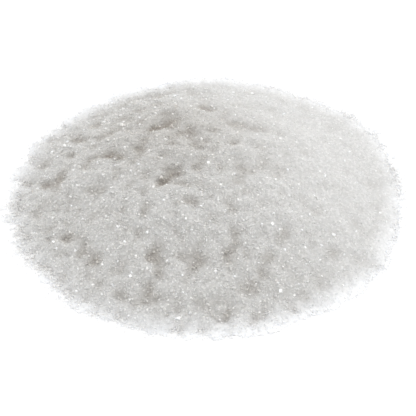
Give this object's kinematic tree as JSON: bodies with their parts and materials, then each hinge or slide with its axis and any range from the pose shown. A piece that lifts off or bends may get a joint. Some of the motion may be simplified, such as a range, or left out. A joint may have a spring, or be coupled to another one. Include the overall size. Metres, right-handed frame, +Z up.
{
  "type": "heap of yeast nutrient crystals",
  "caption": "Low heap of fine white crystalline yeast nutrient, lumpy on top with hollows between soft clumps, flat underneath and thin at its uneven rim.",
  "frame": {"origin": "middle of the flat underside, on the table", "axes": "+Z up, the heap's thinnest way; -Y is the side that faces the viewer in the picture, +X to the viewer's right"},
  "size_m": [0.0786, 0.0798, 0.0105],
  "materials": {
    "white_crystals": "fine translucent white salt crystals, matt as a heap, with glinting faces"
  },
  "bodies": {
    "root": {"crystal_heap": "white_crystals"}
  },
  "joints": []
}
